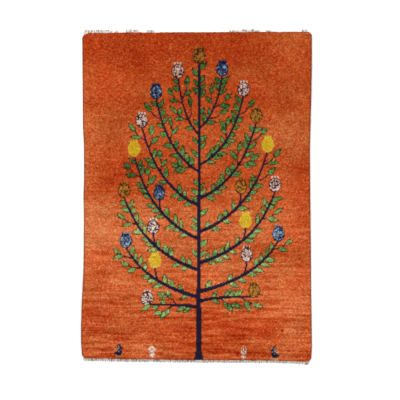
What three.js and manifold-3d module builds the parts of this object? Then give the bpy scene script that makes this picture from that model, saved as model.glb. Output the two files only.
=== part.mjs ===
// A hand-knotted wool pile rug lying flat, in millimetres.
// +X runs across the rug, +Y along the warps from the foot end to the head end, +Z up from the floor.
import * as THREE from 'three';
import { mergeVertices } from 'three/addons/utils/BufferGeometryUtils.js';
import Module from 'manifold-3d';

const wasm = await Module();
wasm.setup();

// Driving dimensions
const WIDTH = 1050; // over both selvedges
const LENGTH = 1500; // of the pile, without the fringes
const PILE_TOP = 15; // foundation and pile together
const RIM = 26; // how far in the rounded rim of the pile reaches
const SEAT_GAP = 0.4; // between the pile's foundation and what is sewn or woven on beside it
const SIDE_STEPS = 36; // straight stretches along each long side
const END_STEPS = 24; // straight stretches along each end
const CORNER_STEPS = 4; // stretches round each corner
const WAVE_HEIGHT = 0.6; // how far the pile's top rises and falls

const SELVEDGE = {
  width: 7, // over the wraps
  waist: 5.8, // between two wraps
  pitch: 16.6, // one bundle of overcast wool to the next
  sides: 6,
  shortOfEnd: 9, // where the cord stops before the pile's end
  turnIn: 2.6, // how far its last stretch follows the rounded corner
  turnFrom: 26,
};

// The flat-woven end: how far it shows beyond the pile at the foot and at the head.
const END_STRIP = { height: 3, edgeHeight: 2.4, slope: 1.2, foot: 4, head: -0.6, shortOfSide: 8 };
const STRAND = { pitch: 8.4, root: 5.6, tip: 2.6, height: 2.1, tipHeight: 1.2, rootDepth: 2 };
const FOOT_STRAND_LENGTH = 10;

// How far each long side stands out from, or draws in behind, its nominal line.
const SIDE_EDGE = [
  { at: -750, left: 1, right: -2 },
  { at: -681, left: 5.5, right: 1.5 },
  { at: -635, left: 6.5, right: 0.8 },
  { at: -521, left: 4, right: -0.6 },
  { at: -430, left: -0.4, right: -2.2 },
  { at: -338, left: -5, right: -2.8 },
  { at: -247, left: -6.3, right: -3.4 },
  { at: -110, left: -7.2, right: -5 },
  { at: 5, left: -5, right: -6 },
  { at: 73, left: -7.8, right: -6.8 },
  { at: 210, left: -7.6, right: -7.4 },
  { at: 347, left: -2, right: -4.4 },
  { at: 484, left: -1.3, right: -0.8 },
  { at: 620, left: 0, right: 1 },
  { at: 750, left: 1, right: 1 },
];

// The same for the two ends.
const END_EDGE = [
  { at: -525, foot: -8, head: -4 },
  { at: -425, foot: -7, head: -3.6 },
  { at: -315, foot: -3.4, head: -1.2 },
  { at: -200, foot: -3, head: -1.6 },
  { at: -80, foot: -1.4, head: -0.2 },
  { at: 60, foot: 0.4, head: -0.4 },
  { at: 240, foot: 1, head: 0.2 },
  { at: 330, foot: 2, head: 0.1 },
  { at: 425, foot: 4.4, head: 0.4 },
  { at: 470, foot: 7.6, head: 0.6 },
  { at: 525, foot: 8.6, head: 1.4 },
];

const CORNER_RADIUS = { footRight: 20, headRight: 18, headLeft: 24, footLeft: 16 };

// The pile's rim from the floor up, as a height and a distance in, for the long sides and for the ends.
const RIM_PROFILE = [
  { sideHeight: 0, sideIn: 7.5, endHeight: 0, endIn: 5.4 }, // foundation on the floor
  { sideHeight: 7.5, sideIn: 7.5, endHeight: 3.5, endIn: 5.4 },
  { sideHeight: 8.3, sideIn: 5.2, endHeight: 4.6, endIn: 2 }, // tufts leaning out over it
  { sideHeight: 10.4, sideIn: 4, endHeight: 8.2, endIn: 0 },
  { sideHeight: 13, sideIn: 5.8, endHeight: 12.6, endIn: 1.9 },
  { sideHeight: 14.6, sideIn: 11, endHeight: 14.5, endIn: 7.5 },
  { sideHeight: PILE_TOP, sideIn: RIM, endHeight: PILE_TOP, endIn: RIM },
];

// Where the head fringe isn't folded away under the rug: the stretch, and how far its strands reach.
const HEAD_TUFTS = [
  { from: -514, to: -388, length: 12.5 },
  { from: -375, to: -360, length: 9.5 },
  { from: -324, to: -263, length: 11 },
  { from: -228, to: -196, length: 9.5 },
  { from: 160, to: 196, length: 6 },
  { from: 204, to: 266, length: 11 },
  { from: 318, to: 333, length: 6.5 },
  { from: 480, to: 504, length: 9 },
];

const lerp = THREE.MathUtils.lerp;

// A repeatable unevenness from -1 to 1, so that no two strands are alike.
function uneven(index, kind) {
  const wave = Math.sin(index * 12.9898 + kind * 78.233) * 43758.5453;
  return 2 * (wave - Math.floor(wave)) - 1;
}

// The value of one column of a table at a place, eased from row to row.
function eased(table, column, place) {
  const last = table.length - 2;
  let row = 0;
  while (row < last && table[row + 1].at < place) row += 1;
  const [low, high] = [table[row], table[row + 1]];
  return lerp(low[column], high[column], THREE.MathUtils.smoothstep(place, low.at, high.at));
}

// Places along half a side, each way from the middle, with the rim's own width last.
function stations(half, steps) {
  const inner = Array.from({ length: steps + 1 }, (_, i) => lerp(RIM - half, half - RIM, i / steps));
  return [-half, ...inner, half];
}

const SIDE_STATIONS = stations(LENGTH / 2, SIDE_STEPS);
const END_STATIONS = stations(WIDTH / 2, END_STEPS);

// The edge tables read at the stations, so that every piece bends at the same places.
const readAt = (places, table, columns) =>
  places.map((place) => ({
    at: place,
    ...Object.fromEntries(columns.map((column) => [column, eased(table, column, place)])),
  }));
const SIDE_LINE = readAt(SIDE_STATIONS, SIDE_EDGE, ['left', 'right']);
const END_LINE = readAt(END_STATIONS, END_EDGE, ['foot', 'head']);

// The value of one column between two stations, in a straight line.
function straight(line, column, place) {
  const last = line.length - 2;
  let row = 0;
  while (row < last && line[row + 1].at < place) row += 1;
  const [low, high] = [line[row], line[row + 1]];
  return lerp(low[column], high[column], (place - low.at) / (high.at - low.at));
}

// Moves a point of the true rectangle to where the uneven rug has it.
function lie(point) {
  const [left, right] = ['left', 'right'].map((side) => straight(SIDE_LINE, side, point.y));
  const [foot, head] = ['foot', 'head'].map((end) => straight(END_LINE, end, point.x));
  const outward = point.x < 0 ? -left : right;
  const endward = point.y < 0 ? -foot : head;
  return new THREE.Vector3(
    point.x + (outward * Math.abs(point.x)) / (WIDTH / 2),
    point.y + (endward * Math.abs(point.y)) / (LENGTH / 2),
    point.z,
  );
}

// A closed solid of triangles, as a geometry with flat faces.
function geometryOf(points, triangles) {
  const corners = triangles.flat().flatMap((index) => points[index].toArray());
  const geometry = new THREE.BufferGeometry();
  geometry.setAttribute('position', new THREE.Float32BufferAttribute(corners, 3));
  geometry.computeVertexNormals();
  return geometry;
}

// A geometry as a solid for joining, and back again.
function solidOf(geometry) {
  const bare = new THREE.BufferGeometry().setAttribute('position', geometry.getAttribute('position'));
  const merged = mergeVertices(bare, 1e-3);
  return new wasm.Manifold(
    new wasm.Mesh({
      numProp: 3,
      vertProperties: merged.attributes.position.array,
      triVerts: new Uint32Array(merged.index.array),
    }),
  );
}

function geometryOfSolid(solid) {
  const { vertProperties, triVerts } = solid.getMesh();
  const indexed = new THREE.BufferGeometry();
  indexed.setAttribute('position', new THREE.BufferAttribute(new Float32Array(vertProperties), 3));
  indexed.setIndex(new THREE.BufferAttribute(new Uint32Array(triVerts), 1));
  const geometry = indexed.toNonIndexed();
  geometry.computeVertexNormals();
  return geometry;
}

// The pile and its foundation

// One level of the rim as a loop, anticlockwise from above, starting at the foot end of the right side.
function rimLoop({ sideHeight, sideIn, endHeight, endIn }) {
  const loop = [];
  const [halfWidth, halfLength] = [WIDTH / 2, LENGTH / 2];
  const inner = (places) => places.slice(1, -1);
  const turn = (signX, signY, radius, fromAngle) => {
    const centreX = signX * (halfWidth - Math.max(radius, sideIn));
    const centreY = signY * (halfLength - Math.max(radius, endIn));
    for (let step = 0; step <= CORNER_STEPS; step += 1) {
      const angle = fromAngle + (step / CORNER_STEPS) * (Math.PI / 2);
      const endShare = Math.sin(angle) ** 2;
      loop.push(new THREE.Vector3(
        centreX + Math.max(0, radius - sideIn) * Math.cos(angle),
        centreY + Math.max(0, radius - endIn) * Math.sin(angle),
        lerp(sideHeight, endHeight, endShare),
      ));
    }
  };
  inner(SIDE_STATIONS).forEach((y) => loop.push(new THREE.Vector3(halfWidth - sideIn, y, sideHeight)));
  turn(1, 1, CORNER_RADIUS.headRight, 0);
  inner(END_STATIONS).reverse().forEach((x) => loop.push(new THREE.Vector3(x, halfLength - endIn, endHeight)));
  turn(-1, 1, CORNER_RADIUS.headLeft, Math.PI / 2);
  inner(SIDE_STATIONS).reverse().forEach((y) => loop.push(new THREE.Vector3(sideIn - halfWidth, y, sideHeight)));
  turn(-1, -1, CORNER_RADIUS.footLeft, Math.PI);
  inner(END_STATIONS).forEach((x) => loop.push(new THREE.Vector3(x, endIn - halfLength, endHeight)));
  turn(1, -1, CORNER_RADIUS.footRight, Math.PI * 1.5);
  return loop;
}

// The soft rise and fall of the pile's top, which dies out at the rim.
function pileWave(x, y) {
  const inFromSide = (WIDTH / 2 - RIM - Math.abs(x)) / 60;
  const inFromEnd = (LENGTH / 2 - RIM - Math.abs(y)) / 60;
  const fade = THREE.MathUtils.clamp(Math.min(inFromSide, inFromEnd), 0, 1);
  const wave = Math.sin(x / 71 + Math.sin(y / 130)) * Math.cos(y / 96 + Math.sin(x / 150));
  return WAVE_HEIGHT * fade * wave;
}

// Triangles keep only three different points, because a corner's arc closes to one point at the rim's inner edge.
function addTriangle(triangles, points, a, b, c) {
  const same = (i, j) => i === j || points[i].distanceTo(points[j]) < 1e-6;
  if (!same(a, b) && !same(b, c) && !same(c, a)) triangles.push([a, b, c]);
}

function pileGeometry() {
  const loops = RIM_PROFILE.map(rimLoop);
  const count = loops[0].length;
  const points = loops.flat();
  const triangles = [];
  for (let level = 0; level + 1 < loops.length; level += 1) {
    for (let i = 0; i < count; i += 1) {
      const next = (i + 1) % count;
      const [a, b] = [level * count + i, level * count + next];
      const [c, d] = [a + count, b + count];
      addTriangle(triangles, points, a, b, d);
      addTriangle(triangles, points, a, d, c);
    }
  }
  const underside = loops[0].map(({ x, y }) => new THREE.Vector2(x, y));
  THREE.ShapeUtils.triangulateShape(underside, []).forEach(([a, b, c]) => triangles.push([a, c, b]));
  const columns = END_STATIONS.slice(1, -1);
  const rows = SIDE_STATIONS.slice(1, -1);
  const first = points.length;
  rows.forEach((y) => columns.forEach((x) => points.push(new THREE.Vector3(x, y, PILE_TOP + pileWave(x, y)))));
  const place = (row, column) => first + row * columns.length + column;
  for (let row = 0; row + 1 < rows.length; row += 1) {
    for (let column = 0; column + 1 < columns.length; column += 1) {
      const [a, b] = [place(row, column), place(row, column + 1)];
      const [c, d] = [place(row + 1, column), place(row + 1, column + 1)];
      triangles.push([a, b, d], [a, d, c]);
    }
  }
  return geometryOf(points.map(lie), triangles);
}

// The overcast cord along a long side

function selvedgeGeometry(sign) {
  const half = LENGTH / 2 - SELVEDGE.shortOfEnd;
  const wraps = Math.round((2 * half) / SELVEDGE.pitch);
  const rings = 2 * wraps + 1;
  const points = [];
  for (let ring = 0; ring < rings; ring += 1) {
    const y = lerp(-half, half, ring / (rings - 1));
    const atEnd = ring === 0 || ring === rings - 1;
    const crest = ring % 2 === 1;
    const across = (crest ? SELVEDGE.width + 0.3 * uneven(ring, 1) - 0.3 : SELVEDGE.waist) * (atEnd ? 0.6 : 1);
    const radius = across / 2;
    const intoCorner = Math.max(0, Math.abs(y) - LENGTH / 2 + SELVEDGE.turnFrom) / SELVEDGE.turnFrom;
    const centreIn = SELVEDGE.width / 2 + SELVEDGE.turnIn * intoCorner ** 2;
    for (let side = 0; side < SELVEDGE.sides; side += 1) {
      const angle = (side / SELVEDGE.sides) * Math.PI * 2;
      const seat = (SELVEDGE.width / 2) * Math.sin(Math.PI / 3);
      points.push(new THREE.Vector3(
        sign * (WIDTH / 2 - centreIn) + radius * Math.cos(angle),
        y,
        seat - radius * Math.sin(angle),
      ));
    }
  }
  const triangles = [];
  const place = (ring, side) => ring * SELVEDGE.sides + (side % SELVEDGE.sides);
  for (let ring = 0; ring + 1 < rings; ring += 1) {
    for (let side = 0; side < SELVEDGE.sides; side += 1) {
      const [a, b] = [place(ring, side), place(ring, side + 1)];
      const [c, d] = [place(ring + 1, side), place(ring + 1, side + 1)];
      triangles.push([a, b, d], [a, d, c]);
    }
  }
  for (let side = 1; side + 1 < SELVEDGE.sides; side += 1) {
    triangles.push([place(0, 0), place(0, side + 1), place(0, side)]);
    triangles.push([place(rings - 1, 0), place(rings - 1, side), place(rings - 1, side + 1)]);
  }
  return geometryOf(points.map(lie), triangles);
}

// The flat-woven ends with their fringes

// A bar along X through rows of [across, height] corners, one row for each place along it.
function barGeometry(rows, bend = lie) {
  const corners = rows[0].length;
  const points = rows.flat();
  const triangles = [];
  for (let row = 0; row + 1 < rows.length; row += 1) {
    for (let corner = 0; corner < corners; corner += 1) {
      const a = row * corners + corner;
      const b = row * corners + ((corner + 1) % corners);
      const [c, d] = [a + corners, b + corners];
      triangles.push([a, b, d], [a, d, c]);
    }
  }
  const lastRow = (rows.length - 1) * corners;
  for (let corner = 1; corner + 1 < corners; corner += 1) {
    triangles.push([0, corner + 1, corner]);
    triangles.push([lastRow, lastRow + corner, lastRow + corner + 1]);
  }
  return geometryOf(points.map(bend), triangles);
}

// The strip runs the full width beside the foundation, under the pile's lip. end is +1 for the head, -1 for the foot.
function stripGeometry(end, showing) {
  const insideY = LENGTH / 2 - (RIM_PROFILE[0].endIn - SEAT_GAP);
  const outsideY = LENGTH / 2 + showing;
  const reach = WIDTH / 2 - END_STRIP.shortOfSide;
  const places = [-reach, ...END_STATIONS.slice(1, -1), reach];
  const section = [
    [insideY, 0],
    [outsideY, 0],
    [outsideY, END_STRIP.edgeHeight],
    [outsideY - END_STRIP.slope, END_STRIP.height],
    [insideY, END_STRIP.height],
  ];
  const order = end > 0 ? section : [...section].reverse();
  return barGeometry(places.map((x) => order.map(([y, z]) => new THREE.Vector3(x, end * y, z))));
}

// One lock of warp ends, lying on the floor from inside the strip outwards.
function strandGeometry(end, x, fromY, length, index) {
  const lean = 1.6 * uneven(index, 2);
  const cuts = [
    { y: fromY - STRAND.rootDepth, x, width: STRAND.root, height: STRAND.height },
    { y: fromY + length * 0.5, x: x + lean * 0.4, width: STRAND.root * 0.8, height: STRAND.height },
    { y: fromY + length, x: x + lean, width: STRAND.tip, height: STRAND.tipHeight },
  ];
  const corners = cuts.map((cut) => {
    const half = cut.width / 2;
    const section = [[-half, 0], [half, 0], [half * 0.6, cut.height], [-half * 0.6, cut.height]];
    const order = end > 0 ? section.reverse() : section;
    return order.map(([dx, z]) => new THREE.Vector3(cut.x + dx, end * cut.y, z));
  });
  return barGeometry(corners);
}

function fringedEndGeometry(end, showing, places) {
  const fromY = LENGTH / 2 + showing;
  const strands = places.map(({ x, length }, index) => {
    const ragged = length * (1 + 0.22 * uneven(index, 3));
    return solidOf(strandGeometry(end, x, fromY, ragged, index));
  });
  const strip = solidOf(stripGeometry(end, showing));
  return geometryOfSolid(wasm.Manifold.union([strip, ...strands]));
}

// Even places for strands over one stretch.
function strandPlaces({ from, to, length }) {
  const count = Math.max(2, Math.round((to - from) / STRAND.pitch));
  return Array.from({ length: count }, (_, i) => ({
    x: lerp(from, to, (i + 0.5) / count) + 0.5 * uneven(i + from, 4),
    length,
  }));
}

const fringeReach = WIDTH / 2 - END_STRIP.shortOfSide - STRAND.root / 2;
const footPlaces = strandPlaces({ from: -fringeReach, to: fringeReach, length: FOOT_STRAND_LENGTH });
const headPlaces = HEAD_TUFTS.flatMap(strandPlaces);

const wool = (color) => new THREE.MeshStandardMaterial({ color, roughness: 0.95, metalness: 0 });

function piece(name, geometry, material) {
  const mesh = new THREE.Mesh(geometry, material);
  mesh.name = name;
  return mesh;
}

const rustWool = wool(0xbe5829);
const edgeWool = wool(0x7d3a1c);
const undyedWool = wool(0xb9b3a6);

const rug = new THREE.Group();
rug.add(piece('pile_field', pileGeometry(), rustWool));
rug.add(piece('selvedge_left', selvedgeGeometry(-1), edgeWool));
rug.add(piece('selvedge_right', selvedgeGeometry(1), edgeWool));
rug.add(piece('fringed_end_foot', fringedEndGeometry(-1, END_STRIP.foot, footPlaces), undyedWool));
rug.add(piece('fringed_end_head', fringedEndGeometry(1, END_STRIP.head, headPlaces), undyedWool));

// The origin is on the floor, under the middle of the whole rug.
const outline = new THREE.Box3().setFromObject(rug);
const middle = outline.getCenter(new THREE.Vector3());
rug.position.set(-middle.x, -middle.y, 0);

export default rug;
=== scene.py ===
import bpy
import numpy as np
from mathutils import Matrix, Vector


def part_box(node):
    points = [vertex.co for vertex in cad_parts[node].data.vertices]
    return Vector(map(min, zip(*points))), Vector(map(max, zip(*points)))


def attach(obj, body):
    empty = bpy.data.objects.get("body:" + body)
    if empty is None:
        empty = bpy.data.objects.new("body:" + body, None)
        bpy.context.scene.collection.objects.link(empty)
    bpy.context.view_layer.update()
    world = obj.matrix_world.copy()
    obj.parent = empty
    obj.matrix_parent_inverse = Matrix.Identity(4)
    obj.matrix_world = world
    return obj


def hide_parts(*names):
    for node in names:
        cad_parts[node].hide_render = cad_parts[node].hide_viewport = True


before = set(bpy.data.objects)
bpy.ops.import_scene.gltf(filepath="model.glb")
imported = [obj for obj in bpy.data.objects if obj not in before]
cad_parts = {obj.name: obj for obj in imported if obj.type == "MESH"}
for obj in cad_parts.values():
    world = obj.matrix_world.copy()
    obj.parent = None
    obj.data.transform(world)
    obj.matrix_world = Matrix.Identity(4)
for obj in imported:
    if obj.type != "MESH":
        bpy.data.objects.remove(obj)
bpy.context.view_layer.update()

# The pattern.
# The weaver ties one knot of dyed wool after the other from a chart, row by row from the foot end.
# A tree of life with pomegranates stands on a madder field, with small birds and figures at its foot.
# All lengths are in millimetres of the true rectangle until lay() puts them in the rug's own uneven outline.
rug_width, rug_length = 1050, 1500
knot = 4.2
columns, rows = 248, 357
field_half, field_end = columns * knot / 2, rows * knot / 2
across = (np.arange(columns) + 0.5) * knot - field_half
along = (np.arange(rows) + 0.5) * knot - field_end
knot_x, knot_y = np.meshgrid(across, along)
FIELD, INDIGO, LEAF, LEAF_EDGE, WELD, SKY, STEEL, ROSE, PLUM, GOLD, UMBER, CREAM, ASH, STRAW = range(14)
chart = np.full((rows, columns), FIELD)
chance = np.random.default_rng(1405)


def off_line(start, end):
    """How far each knot is from a straight line"""
    run = np.subtract(end, start)
    share = ((knot_x - start[0]) * run[0] + (knot_y - start[1]) * run[1]) / max(run @ run, 1e-9)
    share = np.clip(share, 0, 1)
    return np.hypot(knot_x - start[0] - share * run[0], knot_y - start[1] - share * run[1])


def tie_line(path, first_width, last_width):
    """Indigo knots along a path, from one width to another"""
    for step, width in enumerate(np.linspace(first_width, last_width, len(path) - 1)):
        chart[off_line(path[step], path[step + 1]) < width / 2] = INDIGO


def bough_path(start, reach, rise, lift):
    """A bough from its fork to its tip. lift bends it upright at the tip, or drooping if below 0"""
    t = np.linspace(0, 1, 40)[:, None]
    bend = start + np.array([reach * (0.5 + 0.45 * lift), rise * (0.5 - 0.42 * lift)])
    return (1 - t) ** 2 * start + 2 * t * (1 - t) * bend + t**2 * (start + np.array([reach, rise]))


def point_at(path, distance):
    """The point and the heading at a distance along a path"""
    steps = np.diff(path, axis=0)
    far = np.concatenate([[0], np.cumsum(np.hypot(*steps.T))])
    i = int(np.clip(np.searchsorted(far, distance) - 1, 0, len(steps) - 1))
    share = (distance - far[i]) / (far[i + 1] - far[i])
    return path[i] + steps[i] * share, np.arctan2(steps[i][1], steps[i][0])


def length_of(path):
    return np.hypot(*np.diff(path, axis=0).T).sum()


def toward(heading):
    return np.array([np.cos(heading), np.sin(heading)])


def free(mask, most):
    """Whether less than this share of the knots is already tied in another colour than the field's"""
    return (chart[mask] != FIELD).mean() < most


def grow_leaf(point, heading):
    """A pointed leaf in a darker outline, where it has room"""
    length, width = chance.uniform(40, 58), chance.uniform(21, 29)
    clear = off_line(point + 20 * toward(heading), point + length * toward(heading)) < width / 2 + 1.5
    if not free(clear, 0.12):
        return
    away = (knot_x - point[0]) * np.cos(heading) + (knot_y - point[1]) * np.sin(heading)
    aside = (knot_y - point[1]) * np.cos(heading) - (knot_x - point[0]) * np.sin(heading)
    share = np.clip(away / length, 0, 1)
    half = width / 2 * np.sin(np.pi * share**0.8) ** 0.8
    body = (away > -1) & (away < length) & (np.abs(aside) < half)
    chart[body] = LEAF
    chart[body & (np.abs(aside) > half - 0.85 * knot)] = LEAF_EDGE


def smeared(tones, reach, axis):
    """Noise made smooth along one axis and kept as strong as before"""
    kernel = np.exp(-0.5 * (np.arange(-40, 41) / reach) ** 2)
    tones = np.apply_along_axis(np.convolve, axis, tones, kernel, "same")
    return tones / tones.std()


def drift(knots_across, knots_along):
    """Random tones over the whole chart that hold over so many knots each way"""
    return smeared(smeared(chance.normal(size=chart.shape), knots_across, 1), knots_along, 0)


speckle = drift(0.48, 0.48)


def tie_pomegranate(centre, radius, yarns_used):
    """A round body in a dark outline, with uneven groups of seeds and a toothed crown"""
    ground, marks, edge, sparks = yarns_used
    dx, dy = knot_x - centre[0], knot_y - centre[1]
    body = np.hypot(dx, dy * 0.86) < radius
    inside = np.hypot(dx, dy * 0.86) < radius - 0.9 * knot
    tooth = np.abs((dx / (0.44 * radius) + 0.5) % 1 - 0.5)
    crown = (dy > 0) & (np.abs(dx) < radius * 0.62) & (dy < radius * (1.5 - 0.5 * tooth))
    chart[body | crown] = ground
    chart[inside & (speckle > 0.2)] = marks
    chart[inside & (speckle < -1)] = sparks
    chart[body & ~inside] = edge
    chart[crown & ~body & (tooth > 0.3)] = edge


trunk_x = 9
trunk = np.column_stack([trunk_x + 2 * np.sin(np.linspace(-2.7, 2.3, 60)), np.linspace(-740, 616, 60)])
# Where each bough leaves the trunk, how far it reaches and rises, its fruit, and the fruit on its short fork.
boughs = [
    {"from": -512, "reach": -236, "rise": 16, "lift": -1, "fruit": ROSE},
    {"from": -488, "reach": 254, "rise": 30, "lift": -1, "fruit": GOLD},
    {"from": -462, "reach": -338, "rise": 230, "lift": 0.55, "fruit": STEEL, "fork": WELD},
    {"from": -436, "reach": 366, "rise": 236, "lift": 0.55, "fruit": STEEL, "fork": ROSE},
    {"from": -338, "reach": -346, "rise": 338, "lift": 0.6, "fruit": GOLD, "fork": ROSE},
    {"from": -306, "reach": 352, "rise": 330, "lift": 0.6, "fruit": ROSE, "fork": WELD},
    {"from": -196, "reach": -300, "rise": 384, "lift": 0.6, "fruit": WELD, "fork": STEEL},
    {"from": -164, "reach": 318, "rise": 372, "lift": 0.6, "fruit": WELD, "fork": GOLD},
    {"from": -44, "reach": -262, "rise": 362, "lift": 0.6, "fruit": ROSE},
    {"from": -12, "reach": 264, "rise": 352, "lift": 0.6, "fruit": GOLD},
    {"from": 112, "reach": -196, "rise": 338, "lift": 0.6, "fruit": STEEL},
    {"from": 140, "reach": 204, "rise": 320, "lift": 0.6, "fruit": ROSE},
    {"from": 282, "reach": -96, "rise": 262, "lift": 0.6, "fruit": ROSE},
    {"from": 308, "reach": 106, "rise": 246, "lift": 0.6, "fruit": STEEL},
]
# Every branch that bears a fruit is a bough, thicker the lower it leaves the trunk, or the short fork on it.
branches = []
for bough in boughs:
    path = bough_path(np.array([trunk_x, bough["from"]]), bough["reach"], bough["rise"], bough["lift"])
    branches.append({"path": path, "width": 14 - 0.012 * bough["from"], "fruit": bough["fruit"]})
    if "fork" in bough:
        fork = bough_path(path[16], 0.07 * bough["reach"], 72, 0.8)
        branches.append({"path": fork, "width": 9, "fruit": bough["fork"]})
for branch in branches:
    tie_line(branch["path"], branch["width"], 8)
trunk_half = np.interp(knot_y, [-750, -700, -520, -420, 0, 620], [22, 13, 12, 9, 7, 4.2])
chart[(np.abs(knot_x - trunk_x - 2 * np.sin(knot_y / 270)) < trunk_half) & (knot_y < 616)] = INDIGO

# Ground, seeds, outline and single bright knots of each kind of fruit.
kinds = {
    ROSE: (ROSE, PLUM, PLUM, ROSE),
    STEEL: (STEEL, INDIGO, INDIGO, SKY),
    WELD: (WELD, WELD, WELD, WELD),
    GOLD: (GOLD, UMBER, UMBER, GOLD),
}
for branch in branches:
    tie_pomegranate(branch["path"][-1] + [0, 26], 29, kinds[branch["fruit"]])
tie_pomegranate((trunk_x, 640), 31, kinds[GOLD])

# A twig grows to each side wherever it has room, with a leaf at its tip and two pairs along it.
for branch in branches:
    for distance in np.arange(40, length_of(branch["path"]) - 10, 20):
        point, heading = point_at(branch["path"], distance)
        for side in (1, -1):
            twig_heading = heading + side * 0.8
            tip_heading = twig_heading - side * 0.45
            middle = point + 34 * toward(twig_heading)
            tip = middle + 28 * toward(tip_heading)
            room = off_line(point + 14 * toward(twig_heading), middle) < 7
            leaf_room = off_line(middle, tip + 34 * toward(tip_heading)) < 22
            if free(room, 0.02) and free(leaf_room, 0.02):
                twig = np.vstack([np.linspace(point, middle, 8), np.linspace(middle, tip, 8)[1:]])
                tie_line(twig, 6.6, 5.4)
                grow_leaf(tip, tip_heading)
                for place in (5, 10):
                    grow_leaf(twig[place], tip_heading + 0.85)
                    grow_leaf(twig[place], tip_heading - 0.85)

# Leaves stand in pairs along the branches and the upper trunk, and the wood is tied over their stalks.
wood = chart == INDIGO
for path, first in [(branch["path"], 36) for branch in branches] + [(trunk[20:], 0)]:
    distance, side = first, 1
    while distance < length_of(path) - 14:
        point, heading = point_at(path, distance)
        for turn in (side, -side):
            grow_leaf(point, heading + turn * chance.uniform(0.55, 0.95))
        side = -side
        distance += 16 * chance.uniform(0.7, 1.3)
chart[wood] = INDIGO

# The small birds and upright figures at the foot, charted knot by knot.
bird = """
.....PP....
....PNNN...
....NSNNS..
....NNSNN..
.....SNNNPP
.Y...SNPPP.
YYY.SNNSP..
.Y.SPNPPN..
.Y.NNSNNN..
.NNNNNNNN..
NNNNNNNNN..
.NNNNNNNS..
..YNNNNNY..
..YYYYYYYY.
..YYYYYYY.."""
left_figure = """
..CCC..
.CCCCR.
CCCCCC.
CCECECC
CCSCSCC
.CCCCC.
..CCC..
R.PCPR.
..CCCC.
.CCCCR.
.RCCC..
..CCC..
...R..."""
right_figure = """
...R...
.....R.
...R...
.R.C.R.
..PCP.R
.CPCPR.
.CCPCRR
RCCCPCR
.RCRPC.
.PPCCPR
..CPRP.
.RCCPR.
.RCCRR.
..PCP..
...C..."""
letters = {"N": INDIGO, "S": ASH, "E": INDIGO, "P": PLUM, "Y": STRAW, "R": ROSE, "C": CREAM}
small_figures = [
    {"chart": bird, "x": -356, "first_row": 2, "facing": 1},
    {"chart": bird, "x": 353, "first_row": 1, "facing": -1},
    {"chart": left_figure, "x": -203, "first_row": 2, "facing": 1},
    {"chart": right_figure, "x": 214, "first_row": 1, "facing": 1},
]
for figure in small_figures:
    lines = figure["chart"].split()
    first_column = int((figure["x"] + field_half) / knot) - len(lines[0]) // 2
    for up, line in enumerate(reversed(lines)):
        for place, letter in enumerate(line[:: figure["facing"]]):
            if letter in letters:
                chart[figure["first_row"] + up, first_column + place] = letters[letter]

# The dyes.
# Hand-dyed wool takes colour unevenly, so the field changes tone in bands and patches as each hank runs out.
# 0 is the deepest and 1 the lightest shade that a hank has.

# How far up the rug, and the tone there.
abrash = np.array([
    (-750, 0.44), (-676, 0.43), (-603, 0.28), (-530, 0.43), (-457, 0.52), (-384, 0.68), (-311, 0.62),
    (-238, 0.61), (-165, 0.73), (-91, 0.63), (-18, 0.41), (55, 0.28), (128, 0.28), (201, 0.31),
    (274, 0.37), (347, 0.31), (420, 0.07), (494, 0.12), (567, 0.05), (640, -0.08), (750, -0.03),
])
patches = [
    {"x": -510, "y": 170, "half_width": 50, "half_height": 480, "tone": 0.24},
    {"x": -290, "y": 690, "half_width": 190, "half_height": 60, "tone": -0.08},
    {"x": 480, "y": 470, "half_width": 100, "half_height": 330, "tone": 0.11},
    {"x": 440, "y": 690, "half_width": 120, "half_height": 80, "tone": 0.42},
    {"x": 430, "y": 270, "half_width": 90, "half_height": 50, "tone": 0.14},
    {"x": -370, "y": 90, "half_width": 80, "half_height": 90, "tone": -0.26},
    {"x": 500, "y": 135, "half_width": 50, "half_height": 40, "tone": -0.34},
    {"x": 420, "y": 20, "half_width": 120, "half_height": 150, "tone": 0.12},
    {"x": 500, "y": -150, "half_width": 80, "half_height": 190, "tone": -0.26},
    {"x": -450, "y": 535, "half_width": 90, "half_height": 60, "tone": 0.14},
    {"x": -450, "y": -150, "half_width": 110, "half_height": 90, "tone": 0.30},
    {"x": -250, "y": -90, "half_width": 60, "half_height": 40, "tone": 0.34},
    {"x": -90, "y": -165, "half_width": 110, "half_height": 40, "tone": 0.14},
    {"x": 410, "y": -250, "half_width": 130, "half_height": 60, "tone": -0.18},
    {"x": 505, "y": -250, "half_width": 50, "half_height": 60, "tone": -0.10},
    {"x": -490, "y": -384, "half_width": 60, "half_height": 40, "tone": -0.16},
    {"x": 440, "y": -505, "half_width": 95, "half_height": 85, "tone": 0.38},
    {"x": 470, "y": -665, "half_width": 80, "half_height": 50, "tone": 0.28},
    {"x": -330, "y": -680, "half_width": 150, "half_height": 45, "tone": 0.14},
    {"x": 90, "y": -670, "half_width": 130, "half_height": 50, "tone": -0.16},
    {"x": -55, "y": -598, "half_width": 90, "half_height": 24, "tone": -0.24},
    {"x": 220, "y": -570, "half_width": 80, "half_height": 36, "tone": -0.18},
    {"x": 260, "y": -722, "half_width": 250, "half_height": 13, "tone": -0.38},
    {"x": -410, "y": -485, "half_width": 80, "half_height": 30, "tone": 0.12},
]
streaks = [
    {"y": -568, "from": 402, "to": 525, "tone": -0.5, "tied_rows": 1},
    {"y": -555, "from": -215, "to": 0, "tone": -0.3, "tied_rows": 2},
    {"y": -590, "from": -361, "to": -169, "tone": -0.3, "tied_rows": 2},
    {"y": -594, "from": 37, "to": 242, "tone": -0.3, "tied_rows": 2},
    {"y": -636, "from": -160, "to": 240, "tone": -0.2, "tied_rows": 2},
    {"y": -528, "from": 30, "to": 330, "tone": -0.2, "tied_rows": 2},
    {"y": -270, "from": 330, "to": 520, "tone": -0.2, "tied_rows": 2},
    {"y": 20, "from": -520, "to": -300, "tone": -0.2, "tied_rows": 3},
]

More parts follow.
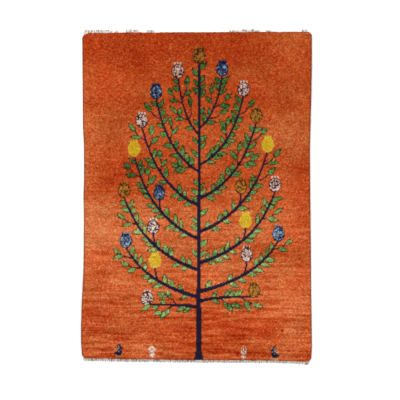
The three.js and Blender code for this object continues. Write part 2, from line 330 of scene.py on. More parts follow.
tone = np.interp(knot_y, *abrash.T)
for patch in patches:
    off_x = (knot_x - patch["x"]) / patch["half_width"]
    off_y = (knot_y - patch["y"]) / patch["half_height"]
    tone += patch["tone"] * np.exp(-0.8 * (off_x**2 + off_y**2))
for streak in streaks:
    inside = (knot_x > streak["from"]) & (knot_x < streak["to"])
    tone[inside & (np.abs(knot_y - streak["y"]) < streak["tied_rows"] * knot / 2)] += streak["tone"]
# Tone changes from knot to knot, in short runs along a row, and over whole patches.
grain = smeared(chance.normal(size=chart.shape), 0.42, 1)
runs = drift(7, 0.7)
cloud = drift(8, 5)
toward_foot = np.clip(0.5 - knot_y / rug_length, 0, 1)
tone += (0.29 + 0.03 * toward_foot) * grain + 0.26 * toward_foot**1.6 * runs + 0.06 * cloud
tone += (0.02 + 0.05 * toward_foot) * chance.normal(size=(rows, 1))
# One small dark stain.
tone[np.hypot(knot_x - 388, knot_y + 612) < 6] = -0.9

# Deepest and lightest shade of each yarn, how far it follows the tone of its row, and how much more of it
# the sun and wear have taken at the foot end.
yarns = {
    FIELD: {"deepest": "#bc410a", "lightest": "#ee834c", "follows": 1.0, "faded": 0.0},
    INDIGO: {"deepest": "#120e22", "lightest": "#2a2440", "follows": 0.6, "faded": 0.2},
    LEAF: {"deepest": "#3a6024", "lightest": "#acca7a", "follows": 0.85, "faded": 0.4},
    LEAF_EDGE: {"deepest": "#1c1c0a", "lightest": "#40441f", "follows": 0.6, "faded": 0.3},
    WELD: {"deepest": "#d0980e", "lightest": "#fbdc4c", "follows": 0.7, "faded": 0.2},
    SKY: {"deepest": "#7f9fc0", "lightest": "#c3d5e6", "follows": 0.8, "faded": 0.2},
    STEEL: {"deepest": "#33486c", "lightest": "#7b96b4", "follows": 0.8, "faded": 0.5},
    ROSE: {"deepest": "#dcab98", "lightest": "#fff0e6", "follows": 0.8, "faded": 0.2},
    PLUM: {"deepest": "#30141a", "lightest": "#602c32", "follows": 0.8, "faded": 0.2},
    GOLD: {"deepest": "#a8641c", "lightest": "#dc9c3a", "follows": 0.8, "faded": 0.2},
    CREAM: {"deepest": "#fac6a6", "lightest": "#fff0de", "follows": 0.8, "faded": 0.0},
    ASH: {"deepest": "#7e787e", "lightest": "#d2ccca", "follows": 0.8, "faded": 0.0},
    UMBER: {"deepest": "#43200a", "lightest": "#774019", "follows": 0.8, "faded": 0.2},
    STRAW: {"deepest": "#b57a35", "lightest": "#e6b878", "follows": 0.8, "faded": 0.0},
}


def linear(shade):
    """An sRGB hex value to linear red, green and blue"""
    shade = np.array([int(shade[i : i + 2], 16) / 255 for i in (1, 3, 5)])
    return np.where(shade <= 0.04045, shade / 12.92, ((shade + 0.055) / 1.055) ** 2.4)


wool = np.zeros((rows, columns, 3))
for yarn, dyed in yarns.items():
    deep, light = linear(dyed["deepest"]) ** (1 / 2.2), linear(dyed["lightest"]) ** (1 / 2.2)
    share = 0.4 + dyed["follows"] * (tone - 0.4) + dyed["faded"] * (toward_foot - 0.5)
    shades = np.clip(deep + share[..., None] * (light - deep), 0.01, 0.98) ** 2.2
    wool[chart == yarn] = shades[chart == yarn]
# Madder takes redder in one place and browner in another, from knot to knot and over whole patches. The band
# below the boughs is from the reddest lot.
redness = 0.5 * drift(1.6, 1.4)
redness += 0.5 * drift(13, 9)
redness += 0.3 + 1.1 * np.exp(-(((knot_y + 570) / 130) ** 2))
field = chart == FIELD
wool[field] *= 1 + redness[field][:, None] * [0.05, -0.05, -0.085]
# The head end is from duller lots. The first and last knots of each row and column, which lean out over the
# edge, are darkened to 78 %: painted shade at the pile's rim.
wool[..., 0] *= 1 - 0.06 * np.clip((knot_y - 60) / 150, 0, 1)
for edge in (np.s_[0], np.s_[-1], np.s_[:, 0], np.s_[:, -1]):
    wool[edge] *= 0.78

# The outline.
# A handmade rug is never a true rectangle: its sides draw in and its ends run off square.
# These are the outline's own numbers, and lay() puts a point of the true rectangle where the rug has it.
rim = 26
pile_top = 15
# How far up the rug, and how far its left and its right side stand out there.
side_edge = np.array([
    (-750, 1, -2), (-681, 5.5, 1.5), (-635, 6.5, 0.8), (-521, 4, -0.6), (-430, -0.4, -2.2), (-338, -5, -2.8),
    (-247, -6.3, -3.4), (-110, -7.2, -5), (5, -5, -6), (73, -7.8, -6.8), (210, -7.6, -7.4), (347, -2, -4.4),
    (484, -1.3, -0.8), (620, 0, 1), (750, 1, 1),
])
# How far across the rug, and how far its foot and its head end stand out there.
end_edge = np.array([
    (-525, -8, -4), (-425, -7, -3.6), (-315, -3.4, -1.2), (-200, -3, -1.6), (-80, -1.4, -0.2),
    (60, 0.4, -0.4), (240, 1, 0.2), (330, 2, 0.1), (425, 4.4, 0.4), (470, 7.6, 0.6), (525, 8.6, 1.4),
])
# By side and end: 1 is the right side and the head end, -1 the left side and the foot end.
corner_radius = {(1, -1): 20, (1, 1): 20, (-1, 1): 31, (-1, -1): 17}


def eased(share):
    share = np.clip(share, 0, 1)
    return share * share * (3 - 2 * share)


def edge_line(table, half, steps):
    """A table of the outline, read with ease at the places where the rug's sides bend"""
    places = np.concatenate([[-half], np.linspace(rim - half, half - rim, steps + 1), [half]])
    row = np.clip(np.searchsorted(table[:, 0], places) - 1, 0, len(table) - 2)
    share = eased((places - table[row, 0]) / (table[row + 1, 0] - table[row, 0]))[:, None]
    return places, *(table[row, 1:] * (1 - share) + table[row + 1, 1:] * share).T


side_line = edge_line(side_edge, rug_length / 2, 36)
end_line = edge_line(end_edge, rug_width / 2, 24)
shift = np.zeros(2)


def lay(x, y, z):
    """Points in millimetres of the true rectangle to metres in the rug's frame"""
    left, right = (np.interp(y, side_line[0], line) for line in side_line[1:])
    foot, head = (np.interp(x, end_line[0], line) for line in end_line[1:])
    lain_x = x + np.where(x < 0, -left, right) * np.abs(x) / (rug_width / 2)
    lain_y = y + np.where(y < 0, -foot, head) * np.abs(y) / (rug_length / 2)
    return 0.001 * np.column_stack([lain_x + shift[0], lain_y + shift[1], z])


# The CAD model stands with its middle over the origin, which is off the middle of the true rectangle. Its
# pile stands 4 mm in from the sides, and its foot end is straight from -509 to 505 mm.
pile_in = 4
side_places, end_places = side_line[0][1:-1], np.linspace(-509, 505, 200)
low_x = lay(np.full(len(side_places), pile_in - rug_width / 2), side_places, 0 * side_places)[:, 0].min()
low_y = lay(end_places, np.full(len(end_places), -rug_length / 2), 0 * end_places)[:, 1].min()
shift += 1000 * (np.array(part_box("pile_field")[0][:2]) - [low_x, low_y])


def rounded(x, y):
    """Draws the corners of the true rectangle round"""
    x, y = x.copy(), y.copy()
    for (sign_x, sign_y), radius in corner_radius.items():
        p = (sign_x * x - field_half + radius) / radius
        q = (sign_y * y - field_end + radius) / radius
        corner = (p > 0) & (q > 0)
        p, q = p[corner], q[corner]
        x[corner] = sign_x * (field_half - radius + radius * p * np.sqrt(1 - q * q / 2))
        y[corner] = sign_y * (field_end - radius + radius * q * np.sqrt(1 - p * p / 2))
    return x, y


# The pile.
# Each knot's two cut wool ends stand up 11 mm from the ground weave, lean towards the foot end, and spread
# into one soft tuft. At the rim they lean out over the selvedge and the woven ends.
ground_top = 3.4
# A tuft's crest stands above the pile's mean surface, and the valleys between tufts lie below it.
tuft_crest, tuft_valley = 0.55, 0.8
crest_scatter, valley_scatter = 0.5, 0.42
nap_lean = 0.7
# Under the rim: how far in and how high the tufts' backs are, for the sides and the ends, going down.
under_rim = [
    {"side_in": 5.4, "side_height": 8.2, "end_in": 2.0, "end_height": 5.0},
    {"side_in": 7.4, "side_height": 7.2, "end_in": 5.2, "end_height": 4.0},
    {"side_in": 7.5, "side_height": ground_top, "end_in": 5.4, "end_height": ground_top},
]


def bare():
    """Nothing selected, so that an operator acts on the new piece alone"""
    if bpy.context.object and bpy.context.object.mode != "OBJECT":
        bpy.ops.object.mode_set(mode="OBJECT")
    bpy.ops.object.select_all(action="DESELECT")


def coordinates(piece):
    places = np.empty(3 * len(piece.data.vertices))
    piece.data.vertices.foreach_get("co", places)
    return places.reshape(-1, 3)


def put(piece, places):
    piece.data.vertices.foreach_set("co", np.asarray(places, float).ravel())
    piece.data.update()


def knot_grid(name, first_row, last_row):
    """A flat grid with a face for each knot, in millimetres of the true rectangle"""
    bare()
    bpy.ops.mesh.primitive_grid_add(x_subdivisions=columns, y_subdivisions=last_row - first_row, size=2)
    grid = bpy.context.object
    grid.name = grid.data.name = name
    flat = coordinates(grid)
    flat[:, 0] = np.round((flat[:, 0] + 1) / 2 * columns) * knot - field_half
    flat[:, 1] = (np.round((flat[:, 1] + 1) / 2 * (last_row - first_row)) + first_row) * knot - field_end
    put(grid, flat)
    return grid


def extrude_rim(levels):
    """Draws the open border down, one marked step for each level, and closes it"""
    bpy.ops.mesh.select_all(action="DESELECT")
    bpy.ops.mesh.select_non_manifold()
    for level in range(levels):
        bpy.ops.mesh.extrude_region_move(TRANSFORM_OT_translate={"value": (0, 0, -1)})
    bpy.ops.mesh.edge_face_add()
    bpy.ops.mesh.select_all(action="SELECT")
    bpy.ops.mesh.normals_make_consistent(inside=False)


def pile_surface(x, y):
    """The pile's top over the true rectangle, round at its rim"""
    from_side, from_end = rug_width / 2 - np.abs(x), rug_length / 2 - np.abs(y)
    side_drop = 4.6 * np.exp(-(from_side - 4) / 2.9)
    end_drop = 6.8 * np.exp(-from_end / 2.6)
    fade = np.clip(np.minimum(from_side - rim, from_end - rim) / 60, 0, 1)
    wave = 0.6 * fade * np.sin(x / 71 + np.sin(y / 130)) * np.cos(y / 96 + np.sin(x / 150))
    return pile_top + wave - np.cbrt(side_drop**3 + end_drop**3)


def surface_normal(x, y):
    near = 0.4
    slope_x = (pile_surface(x + near, y) - pile_surface(x - near, y)) / (2 * near)
    slope_y = (pile_surface(x, y + near) - pile_surface(x, y - near)) / (2 * near)
    normal = np.column_stack([-slope_x, -slope_y, np.ones(len(x))])
    return normal / np.linalg.norm(normal, axis=1)[:, None]


def end_share(x, y):
    """0 along a side, 1 along an end, and between in a corner"""
    side = np.clip(1 - (rug_width / 2 - np.abs(x)) / 30, 1e-6, 1)
    end = np.clip(1 - (rug_length / 2 - np.abs(y)) / 30, 0, 1)
    return end / (end + side)


def knot_of(x, y):
    return (
        np.clip(((y + field_end) / knot).astype(int), 0, rows - 1),
        np.clip(((x + field_half) / knot).astype(int), 0, columns - 1),
    )


# The rim's tufts swell out unevenly all round. Most of the head end is shorn closer.
uneven_places = np.arange(-1900, 1901, 14)
uneven_rim = 0.7 * chance.normal(size=len(uneven_places))
rim_swell, head_shorn = 0.8, 1.3


def knotted_half(name, first_row, last_row):
    half = knot_grid(name, first_row, last_row)
    bpy.ops.object.mode_set(mode="EDIT")
    bpy.ops.mesh.poke()
    extrude_rim(len(under_rim))
    bpy.ops.object.mode_set(mode="OBJECT")
    x, y, depth = coordinates(half).T
    level = np.round(-depth).astype(int)
    crest = (level == 0) & (np.abs((x + field_half) / knot % 1 - 0.5) < 0.1)

    height = pile_surface(x, y)
    normal = surface_normal(x, y)
    jitter = chance.normal(size=(len(x), 3)) * np.where(crest, crest_scatter, valley_scatter)[:, None]
    lift = np.where(crest, tuft_crest, -tuft_valley)
    from_ends = [np.abs(y - row * knot + field_end) for row in (first_row, last_row)]
    seam = (np.minimum(*from_ends) < 0.01) & (field_end - np.abs(y) > 1)
    jitter[seam] = 0
    jitter[:, 2] *= 0.8
    at_rim = (field_half - np.abs(x) < 0.1) | (field_end - np.abs(y) < 0.1)
    lift[at_rim] = rim_swell + np.interp((x + 1.7 * y)[at_rim], uneven_places, uneven_rim)
    lift[at_rim & (field_end - y < 0.1) & (x < 270)] -= head_shorn
    side = end_share(x, y)
    new_x, new_y, new_z = x.copy(), y.copy(), height.copy()
    for number, ring in enumerate(under_rim, 1):
        on = (level == number) & ~(seam & ~at_rim)
        new_x[on] = np.clip(x[on], ring["side_in"] - rug_width / 2, rug_width / 2 - ring["side_in"])
        new_y[on] = np.clip(y[on], ring["end_in"] - rug_length / 2, rug_length / 2 - ring["end_in"])
        new_z[on] = ring["side_height"] * (1 - side[on]) + ring["end_height"] * side[on]
        below = (level == number) & seam & ~at_rim
        new_z[below] = height[below] + (ground_top - height[below]) * number / len(under_rim)
    new_x, new_y = rounded(new_x, new_y)
    top = level == 0
    moved = np.column_stack([new_x, new_y, new_z])
    moved[top] += normal[top] * lift[top][:, None] + jitter[top]
    moved[crest, 1] -= nap_lean
    put(half, lay(*moved.T))
    paint_knots(half, x, y, level, crest)
    map_flat(half, x, y, depth)
    half.data.shade_smooth()
    return half


# Where four knots meet, their wool mixes.
around = np.pad(wool, ((1, 1), (1, 1), (0, 0)), "edge")
between_knots = (around[1:, 1:] + around[1:, :-1] + around[:-1, 1:] + around[:-1, :-1]) / 4
# Painted shade: the valleys between the tufts are darkened to 72 % of their wool, and the tufts' backs under
# the rim to 85 %.
valley_shade, back_shade = 0.72, 0.85


def face_corners(mesh):
    """The point at each corner of each face, where each face starts among them, and how many it has"""
    corners = np.empty(len(mesh.loops), int)
    starts = np.empty(len(mesh.polygons), int)
    sizes = np.empty(len(mesh.polygons), int)
    mesh.loops.foreach_get("vertex_index", corners)
    mesh.polygons.foreach_get("loop_start", starts)
    mesh.polygons.foreach_get("loop_total", sizes)
    return corners, starts, sizes


def paint_knots(piece, x, y, level, crest):
    """Gives every corner of every face the dyed wool of its knot, mixed between the tufts, with painted shade
    in the valleys between them and on the tufts' backs under the rim
    """
    corners, starts, sizes = face_corners(piece.data)
    face_of = np.repeat(np.arange(len(sizes)), sizes)
    face_x = np.add.reduceat(x[corners], starts) / sizes
    face_y = np.add.reduceat(y[corners], starts) / sizes
    dye_and_painted_shade = wool[knot_of(face_x, face_y)][face_of]
    line_x = np.round((x + field_half) / knot).astype(int)
    line_y = np.round((y + field_end) / knot).astype(int)
    mixed = 0.4 * dye_and_painted_shade + 0.6 * between_knots[line_y, line_x][corners]
    low = ~crest[corners]
    # Painted shade: darker in the valleys between the tufts and on the tufts' backs under the rim.
    dye_and_painted_shade[low] = valley_shade * mixed[low]
    dye_and_painted_shade *= np.where(level[corners] > 0, back_shade, 1)[:, None]
    shades = np.ones((len(corners), 4), np.float32)
    shades[:, :3] = dye_and_painted_shade
    painted = piece.data.color_attributes.new("dye_and_painted_shade", "FLOAT_COLOR", "CORNER")
    painted.data.foreach_set("color", shades.ravel())


def map_flat(piece, x, y, depth):
    """A flat map named OFBake: the top laid flat, its rim around it, its underside beside it"""
    corners, starts, sizes = face_corners(piece.data)
    underside = np.repeat(sizes > 8, sizes)
    low, high = np.array([x.min(), y.min()]), np.array([x.max(), y.max()])
    spread = np.clip(np.column_stack([x, y]) - (low + high) / 2, -1, 1) * np.abs(depth)[:, None] * 2
    places = (np.column_stack([x, y]) + spread - low)[corners]
    wide, tall = high - low
    beside = [1.02 * wide, 0] if tall > wide else [0, 1.03 * tall]
    places[underside] = places[underside] * 0.25 + beside
    places = 0.005 + 0.98 * (places + 8) / (max(wide, tall) + 16)
    piece.data.uv_layers.new(name="OFBake").data.foreach_set("uv", places.ravel())


# One piece with every tuft would be too heavy, so the pile is made in two halves that meet along a row.
middle_row = 178
foot_half = knotted_half("pile_foot_half", 0, middle_row)
head_half = knotted_half("pile_head_half", middle_row, rows)


# Pile wool: handspun, dyed before knotting and cut with shears, so it is matt, with a soft sheen on the cut
# ends and fine fibres that catch the light.
def add(tree, kind, settings=None, links=None):
    """A node with its settings and what is linked to its sockets"""
    node = tree.nodes.new(kind)
    for name, value in (settings or {}).items():
        if isinstance(name, int) or name in node.inputs:
            node.inputs[name].default_value = value
        else:
            setattr(node, name, value)
    for name, source in (links or {}).items():
        tree.links.new(source, node.inputs[name])
    return node


def new_material(name):
    material = bpy.data.materials.new(name)
    material.use_nodes = True
    material.node_tree.nodes.clear()
    return material, material.node_tree


pile_wool, tree = new_material("hand_knotted_wool_pile")
place = add(tree, "ShaderNodeTexCoord").outputs["Object"]
dye_and_painted_shade = add(tree, "ShaderNodeAttribute", {"attribute_name": "dye_and_painted_shade"}).outputs["Color"]
# The two yarn ends of a knot stand 2.1 mm apart, its fibres 0.6 to 0.9 mm, and the nap draws both out towards
# the foot end.
napped_ends = add(tree, "ShaderNodeMapping", {"Scale": (480, 340, 480)}, {"Vector": place})
napped_fibres = add(tree, "ShaderNodeMapping", {"Scale": (1700, 600, 1100)}, {"Vector": place})
yarn_ends = add(tree, "ShaderNodeTexVoronoi", {"Scale": 1}, {"Vector": napped_ends.outputs["Vector"]})
fibres = add(
    tree, "ShaderNodeTexNoise", {"Scale": 1, "Detail": 4, "Roughness": 0.65},
    {"Vector": napped_fibres.outputs["Vector"]},
)
# Painted shading on the wool's colour: each yarn end is lighter at its middle and darker towards its border,
# where shade falls between the ends.
painted_end_shading = add(
    tree, "ShaderNodeMapRange", {"From Min": 0.15, "From Max": 0.8, "To Min": 1.16, "To Max": 0.62},
    {"Value": yarn_ends.outputs["Distance"]},
)
fibre_light = add(
    tree, "ShaderNodeMapRange", {"From Min": 0.3, "From Max": 0.7, "To Min": 0.85, "To Max": 1.15},
    {"Value": fibres.outputs["Fac"]},
)
light = add(
    tree, "ShaderNodeMath", {"operation": "MULTIPLY"},
    {0: painted_end_shading.outputs["Result"], 1: fibre_light.outputs["Result"]},
)
colour_with_painted_shade = add(
    tree, "ShaderNodeMixRGB", {"blend_type": "MULTIPLY", "Fac": 1},
    {"Color1": dye_and_painted_shade, "Color2": light.outputs["Value"]},
)
ends_bump = add(
    tree, "ShaderNodeBump", {"Strength": 0.9, "Distance": 0.0015, "invert": True},
    {"Height": yarn_ends.outputs["Distance"]},
)
fibre_bump = add(
    tree, "ShaderNodeBump", {"Strength": 0.5, "Distance": 0.0006},
    {"Height": fibres.outputs["Fac"], "Normal": ends_bump.outputs["Normal"]},
)
shader = add(
    tree, "ShaderNodeBsdfPrincipled",
    {
        "Roughness": 0.92, "IOR": 1.54, "Specular IOR Level": 0.1, "Sheen Weight": 0.06,
        "Sheen Roughness": 0.5, "Sheen Tint": (*linear("#f0b080"), 1),
    },
    {"Base Color": colour_with_painted_shade.outputs["Color"], "Normal": fibre_bump.outputs["Normal"]},
)
add(tree, "ShaderNodeOutputMaterial", links={"Surface": shader.outputs["BSDF"]})
for half in (foot_half, head_half):
    half.data.materials.append(pile_wool)
    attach(half, "root")
    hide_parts("pile_field")

# The ground weave.
# Wool warps and wefts hold the knots in one cloth. Its back shows a bead of dyed wool for each knot, so the
# pattern shows there too, and a thin line of weft between two rows.


def pick(piece):
    """Selects one piece alone"""
    bare()
    piece.select_set(True)
    bpy.context.view_layer.objects.active = piece


def face_out(piece):
    """Turns every face outwards"""
    pick(piece)
    bpy.ops.object.mode_set(mode="EDIT")
    bpy.ops.mesh.select_all(action="SELECT")
    bpy.ops.mesh.normals_make_consistent(inside=False)
    bpy.ops.object.mode_set(mode="OBJECT")


ground = knot_grid("ground_weave", 0, rows)
bpy.ops.object.mode_set(mode="EDIT")
extrude_rim(1)
bpy.ops.object.mode_set(mode="OBJECT")
x, y, depth = coordinates(ground).T
weave_in = under_rim[-1]
bound_x = np.clip(x, weave_in["side_in"] - rug_width / 2, rug_width / 2 - weave_in["side_in"])
bound_y = np.clip(y, weave_in["end_in"] - rug_length / 2, rug_length / 2 - weave_in["end_in"])
inner = (depth > -0.5) & (field_half - np.abs(x) > 1) & (field_end - np.abs(y) > 1)
height = np.where(depth < -0.5, ground_top, np.where(inner, 0.25 * chance.random(len(x)), 0))
put(ground, lay(*rounded(bound_x, bound_y), height))
face_out(ground)
paint_knots(ground, x, y, np.zeros(len(x), int), np.ones(len(x), bool))
map_flat(ground, x, y, depth)
ground.data.shade_smooth()
counted = np.column_stack([x + field_half, y + field_end])[face_corners(ground.data)[0]] / knot
ground.data.uv_layers.new(name="knots").data.foreach_set("uv", counted.ravel())

# Knot backs in hard-beaten wool: two matt beads for each knot, with weft sunk between the rows, and the twist
# of the yarn every 1.4 mm.
ground_wool, tree = new_material("woven_wool_ground")
place = add(tree, "ShaderNodeTexCoord").outputs["Object"]
dye_and_painted_shade = add(tree, "ShaderNodeAttribute", {"attribute_name": "dye_and_painted_shade"}).outputs["Color"]
counted = add(tree, "ShaderNodeUVMap", {"uv_map": "knots"}).outputs["UV"]
counted = add(tree, "ShaderNodeSeparateXYZ", links={"Vector": counted})
row_gap = add(tree, "ShaderNodeMath", {"operation": "PINGPONG", 1: 0.5}, {0: counted.outputs["Y"]})
bead_gap = add(tree, "ShaderNodeMath", {"operation": "PINGPONG", 1: 0.25}, {0: counted.outputs["X"]})
row_bead = add(
    tree, "ShaderNodeMapRange",
    {"From Min": 0.02, "From Max": 0.2, "interpolation_type": "SMOOTHSTEP"},
    {"Value": row_gap.outputs["Value"]},
)
bead = add(
    tree, "ShaderNodeMapRange",
    {"From Min": 0.0, "From Max": 0.16, "To Min": 0.45, "interpolation_type": "SMOOTHSTEP"},
    {"Value": bead_gap.outputs["Value"]},
)
beads = add(
    tree, "ShaderNodeMath", {"operation": "MULTIPLY"},
    {0: row_bead.outputs["Result"], 1: bead.outputs["Result"]},
)
weft = add(
    tree, "ShaderNodeMixRGB", {"Color1": (*linear("#7a4028"), 1)},
    {"Fac": beads.outputs["Value"], "Color2": dye_and_painted_shade},
)
twist = add(tree, "ShaderNodeTexNoise", {"Scale": 700, "Detail": 3}, {"Vector": place})
raised = add(
    tree, "ShaderNodeMath", {"operation": "MULTIPLY_ADD", 1: 0.25},
    {0: twist.outputs["Fac"], 2: beads.outputs["Value"]},
)
relief = add(
    tree, "ShaderNodeBump", {"Strength": 0.8, "Distance": 0.0012}, {"Height": raised.outputs["Value"]}
)
shader = add(
    tree, "ShaderNodeBsdfPrincipled",
    {"Roughness": 0.88, "IOR": 1.54, "Specular IOR Level": 0.25, "Sheen Weight": 0.1},
    {"Base Color": weft.outputs["Color"], "Normal": relief.outputs["Normal"]},
)
add(tree, "ShaderNodeOutputMaterial", links={"Surface": shader.outputs["BSDF"]})
ground.data.materials.append(ground_wool)
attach(ground, "root")
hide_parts("pile_field")

# The selvedges.
# Along each side the last warps are bound together with rust-brown wool, wound round and round in bundles
# of seven turns, with a small waist between one bundle and the next.
bundle = 16.6
turns_in_bundle = 7
wrap_steps = 10
yarn_half, core_half = 1.15, 1.8
waist_radius, bundle_swell = 2.05, 0.35
cord_in, cord_up = 3.2, 3.1
short_of_end = 9


def tube(name, path, radii, sides):
    """A closed yarn along a path in millimetres of the true rectangle, laid with the rug"""
    curve = bpy.data.curves.new(name, "CURVE")
    curve.dimensions = "3D"
    curve.bevel_depth = 1
    curve.bevel_resolution = max(0, sides // 2 - 2)
    curve.use_fill_caps = True
    spline = curve.splines.new("POLY")
    spline.points.add(len(path) - 1)
    spline.points.foreach_set("co", np.column_stack([path, np.ones(len(path))]).ravel())
    spline.points.foreach_set("radius", np.broadcast_to(radii, len(path)).astype(float))
    piece = bpy.data.objects.new(name, curve)
    bpy.context.collection.objects.link(piece)
    pick(piece)
    bpy.ops.object.convert(target="MESH")
    return bpy.context.object


def joined(name, pieces):
    bare()
    for piece in pieces:
        piece.select_set(True)
    bpy.context.view_layer.objects.active = pieces[0]
    bpy.ops.object.join()
    pieces[0].name = pieces[0].data.name = name
    return pieces[0]


# Plied wool in a deeper, browner madder than the pile, wound tight, so it is matt, and each turn is round and
# firm. Its tone drifts over 45 mm of cord, and its fibres are 1.1 mm apart.
edge_wool, tree = new_material("overcast_edge_wool")
place = add(tree, "ShaderNodeTexCoord").outputs["Object"]
hanks = add(tree, "ShaderNodeTexNoise", {"Scale": 22, "Detail": 2}, {"Vector": place})
fibres = add(tree, "ShaderNodeTexNoise", {"Scale": 900, "Detail": 3}, {"Vector": place})
shade = add(tree, "ShaderNodeValToRGB", links={"Fac": hanks.outputs["Fac"]})
shade.color_ramp.elements[0].position = 0.35
shade.color_ramp.elements[0].color = (*linear("#6a2c0c"), 1)
shade.color_ramp.elements[1].position = 0.68
shade.color_ramp.elements[1].color = (*linear("#a04c1e"), 1)
relief = add(tree, "ShaderNodeBump", {"Strength": 0.6, "Distance": 0.0004}, {"Height": fibres.outputs["Fac"]})
shader = add(
    tree, "ShaderNodeBsdfPrincipled",
    {"Roughness": 0.9, "IOR": 1.54, "Specular IOR Level": 0.15, "Sheen Weight": 0.05},
    {"Base Color": shade.outputs["Color"], "Normal": relief.outputs["Normal"]},
)
add(tree, "ShaderNodeOutputMaterial", links={"Surface": shader.outputs["BSDF"]})


def selvedge(name, node, side):
    """One side's cord: a core, and the wool wound round it from end to end, following the rounded corners"""
    half_length = rug_length / 2 - short_of_end
    turns = int(round(2 * half_length / bundle)) * turns_in_bundle
    t = np.linspace(0, 1, turns * wrap_steps + 1)
    y = -half_length + 2 * half_length * t
    angle = 2 * np.pi * turns * t
    swell = np.abs(np.sin(np.pi * turns / turns_in_bundle * t)) ** 0.5
    radius = waist_radius + bundle_swell * swell
    radius += 0.1 * np.interp(t, np.linspace(0, 1, 300), chance.normal(size=300))
    radius *= np.clip((half_length - np.abs(y)) / 3, 0.15, 1) ** 0.5
    corner = np.where(y > 0, corner_radius[side, 1], corner_radius[side, -1])
    into_corner = np.clip(np.abs(y) - rug_length / 2 + corner, 0, None)
    middle = side * (rug_width / 2 - cord_in - 0.8 * (corner - np.sqrt(corner**2 - into_corner**2)))
    wrap = np.column_stack([middle + radius * np.cos(angle), y, cord_up + radius * np.sin(angle)])
    wrapping = tube(name, wrap, yarn_half, 4)
    core_places = slice(wrap_steps, -wrap_steps, wrap_steps * turns_in_bundle)
    core = tube("core", np.column_stack([middle, y, np.full(len(y), cord_up)])[core_places], core_half, 8)
    cord = joined(name, [wrapping, core])
    places = coordinates(cord)
    places[:, 2] = np.maximum(places[:, 2], 0.02)
    put(cord, lay(*places.T))
    pick(cord)
    bpy.ops.object.shade_smooth()
    cord.data.materials.append(edge_wool)
    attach(cord, "root")
    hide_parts(node)
    return cord


left_binding = selvedge("wool_binding_left", "selvedge_left", -1)
right_binding = selvedge("wool_binding_right", "selvedge_right", 1)

# The woven ends.
# A few rows of plain weft in undyed wool lock the first and last knots, and beyond them the warps are cut
# short, twisted in pairs and frayed. At the head most of the fringe is turned under, so it shows in patches.

# Undyed fleece, spun by hand from mixed white and grey staples, so grey runs 22 mm long and 4 mm wide drift
# along every yarn. Its fibres are 0.8 mm apart.
undyed_wool, tree = new_material("undyed_handspun_wool")
place = add(tree, "ShaderNodeTexCoord").outputs["Object"]
drawn_out = add(tree, "ShaderNodeMapping", {"Scale": (260, 45, 60)}, {"Vector": place})
fleece = add(tree, "ShaderNodeTexNoise", {"Scale": 1, "Detail": 2}, {"Vector": drawn_out.outputs["Vector"]})
shade = add(tree, "ShaderNodeValToRGB", links={"Fac": fleece.outputs["Fac"]})
shade.color_ramp.elements[0].position = 0.38
shade.color_ramp.elements[0].color = (*linear("#70665f"), 1)
shade.color_ramp.elements[1].position = 0.6
shade.color_ramp.elements[1].color = (*linear("#eae3db"), 1)
shade.color_ramp.elements.new(0.46).color = (*linear("#c4bbb3"), 1)
fibres = add(tree, "ShaderNodeTexNoise", {"Scale": 1200, "Detail": 2}, {"Vector": place})
# A pick of weft every 1.4 mm.
picks = add(
    tree, "ShaderNodeTexWave", {"bands_direction": "Y", "Scale": 224, "Distortion": 0.6},
    {"Vector": place},
)
weave = add(tree, "ShaderNodeBump", {"Strength": 0.5, "Distance": 0.0004}, {"Height": picks.outputs["Fac"]})
relief = add(
    tree, "ShaderNodeBump", {"Strength": 0.6, "Distance": 0.0003},
    {"Height": fibres.outputs["Fac"], "Normal": weave.outputs["Normal"]},
)
shader = add(
    tree, "ShaderNodeBsdfPrincipled",
    {"Roughness": 0.9, "IOR": 1.54, "Specular IOR Level": 0.25, "Sheen Weight": 0.2},
    {"Base Color": shade.outputs["Color"], "Normal": relief.outputs["Normal"]},
)
add(tree, "ShaderNodeOutputMaterial", links={"Surface": shader.outputs["BSDF"]})

strip_reach = rug_width / 2 - 7
strip_height = 2.8
strip_rows = 6
rib = 2.1
rib_height = 0.55


def woven_strip(name, end, showing):
    """The flat-woven band, ribbed over each warp"""
    ribs = int(2 * strip_reach / rib)
    from_y, to_y = rug_length / 2 - 5, rug_length / 2 + showing
    bare()
    bpy.ops.mesh.primitive_grid_add(x_subdivisions=2 * ribs, y_subdivisions=strip_rows, size=2)
    band = bpy.context.object
    band.name = name
    bpy.ops.object.mode_set(mode="EDIT")
    extrude_rim(1)
    bpy.ops.object.mode_set(mode="OBJECT")
    u, v, depth = coordinates(band).T
    line = np.round((u + 1) * ribs).astype(int)
    weft_row = np.round((v + 1) * strip_rows / 2).astype(int)
    crown = rib_height * ((line + weft_row) % 2) - 1.2 * (v > 0.99) - 0.3 * (v > 0.6)
    height = np.where(depth < -0.5, 0, strip_height + crown)
    put(band, np.column_stack([u * strip_reach, end * (from_y + (v + 1) / 2 * (to_y - from_y)), height]))
    return band


def warp_end(length):
    """Two plies of one warp end, twisted together, with a frayed tip"""
    plies = []
    t = np.linspace(0, 1, 12)
    for half_turn in (0, np.pi):
        angle = half_turn + 9.5 * t
        spread = 0.6 + 3.2 * np.clip(t - 0.75, 0, 1)
        path = np.column_stack([spread * np.cos(angle), length * t, 1.35 - 0.3 * t + 0.55 * np.sin(angle)])
        plies.append(tube("ply", path, np.interp(t, [0, 0.7, 0.9, 1], [0.75, 0.7, 0.5, 0.12]), 6))
    return joined("warp_end", plies)


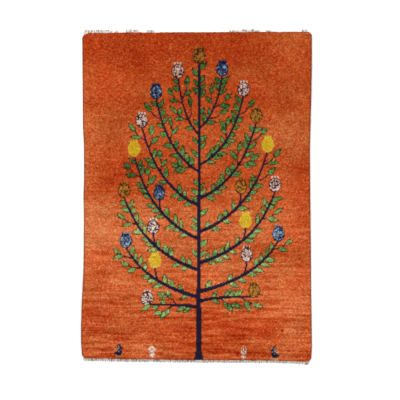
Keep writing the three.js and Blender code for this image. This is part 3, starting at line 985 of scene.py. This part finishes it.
def fringe(name, end, from_y, stretches):
    """Copies of one warp end side by side, no two at the same length or lean"""
    pattern = warp_end(1)
    ends = []
    for stretch in stretches:
        for x in np.arange(stretch["from"], stretch["to"], stretch["spacing"]):
            copy = pattern.copy()
            copy.data = pattern.data.copy()
            bpy.context.collection.objects.link(copy)
            places = coordinates(copy)
            length = stretch["length"] * (1 + stretch["uneven"] * chance.uniform(-1, 1))
            lean = chance.normal() * 0.9
            thick = chance.uniform(0.85, 1.2)
            share = np.clip(places[:, 1], 0, 1)
            places[:, 0] = x + chance.normal() * 0.4 + places[:, 0] * thick + lean * share**1.5
            places[:, 1] = end * (from_y - 2 + (length + 2) * share)
            places[:, 2] = np.maximum(places[:, 2] * thick, 0.05)
            put(copy, places)
            ends.append(copy)
    bpy.data.objects.remove(pattern)
    return joined(name, ends)


foot_fringe = [{"from": -519, "to": 517, "length": 9.4, "spacing": 3.3, "uneven": 0.25}]
head_fringe = [
    {"from": -517, "to": -388, "length": 14.2, "spacing": 2.3, "uneven": 0.14},
    {"from": -376, "to": -360, "length": 11, "spacing": 2.5, "uneven": 0.2},
    {"from": -324, "to": -263, "length": 13, "spacing": 2.3, "uneven": 0.16},
    {"from": -230, "to": -196, "length": 11.5, "spacing": 2.3, "uneven": 0.2},
    {"from": 150, "to": 200, "length": 8, "spacing": 2.6, "uneven": 0.3},
    {"from": 204, "to": 266, "length": 12.5, "spacing": 2.2, "uneven": 0.25},
    {"from": 268, "to": 284, "length": 8.5, "spacing": 2.6, "uneven": 0.3},
    {"from": 316, "to": 336, "length": 8, "spacing": 2.6, "uneven": 0.3},
    {"from": 480, "to": 504, "length": 11, "spacing": 2.6, "uneven": 0.3},
]
for name, node, end, showing, stretches in (
    ("woven_end_foot", "fringed_end_foot", -1, 4, foot_fringe),
    ("woven_end_head", "fringed_end_head", 1, 0.4, head_fringe),
):
    band = woven_strip(name, end, showing)
    warps = fringe("warps", end, rug_length / 2 + showing, stretches)
    whole = joined(name, [band, warps])
    put(whole, lay(*coordinates(whole).T))
    face_out(whole)
    bpy.ops.object.shade_smooth_by_angle(angle=0.9)
    whole.data.materials.append(undyed_wool)
    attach(whole, "root")
    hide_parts(node)

# The floor, the light and the camera.
# A plain pale floor under soft studio light, seen from straight above.
bare()
bpy.ops.mesh.primitive_plane_add(size=12, location=(0, 0, -0.0004))
floor = bpy.context.object
floor.name = "pale_floor"
# Matt paint, rolled on: it shows the rug's soft shadow and no reflection.
floor_paint, tree = new_material("matt_pale_paint")
shader = add(
    tree, "ShaderNodeBsdfPrincipled",
    {"Base Color": (*linear("#f3f3f3"), 1), "Roughness": 0.95, "Specular IOR Level": 0.1},
)
add(tree, "ShaderNodeOutputMaterial", links={"Surface": shader.outputs["BSDF"]})
floor.data.materials.append(floor_paint)

for name, place, size, power in (
    ("key_softbox", (-1.6, 1.9, 2.6), 2.2, 78),
    ("fill_softbox", (2.2, -1.4, 2.6), 2.6, 50),
):
    bpy.ops.object.light_add(type="AREA", location=place)
    lamp = bpy.context.object
    lamp.name = name
    lamp.data.size = size
    lamp.data.energy = power
    lamp.rotation_euler = (-lamp.location).to_track_quat("-Z", "Y").to_euler()
world = bpy.data.worlds.new("studio")
world.use_nodes = True
world.node_tree.nodes["Background"].inputs["Color"].default_value = (1, 1, 1, 1)
world.node_tree.nodes["Background"].inputs["Strength"].default_value = 0.78
bpy.context.scene.world = world
bpy.context.scene.view_settings.view_transform = "Standard"

# The picture is 1.828 m wide at the pile, 4.49 m below the camera.
frame_width, camera_to_pile = 1.828, 4.49
bpy.ops.object.camera_add(location=(0.0161, -0.0131, 4.5), rotation=(0, 0, 0))
camera = bpy.context.object
camera.name = "camera_above"
camera.data.sensor_width = 36
camera.data.lens = 36 * camera_to_pile / frame_width
camera.data.clip_end = 50
bpy.context.scene.camera = camera
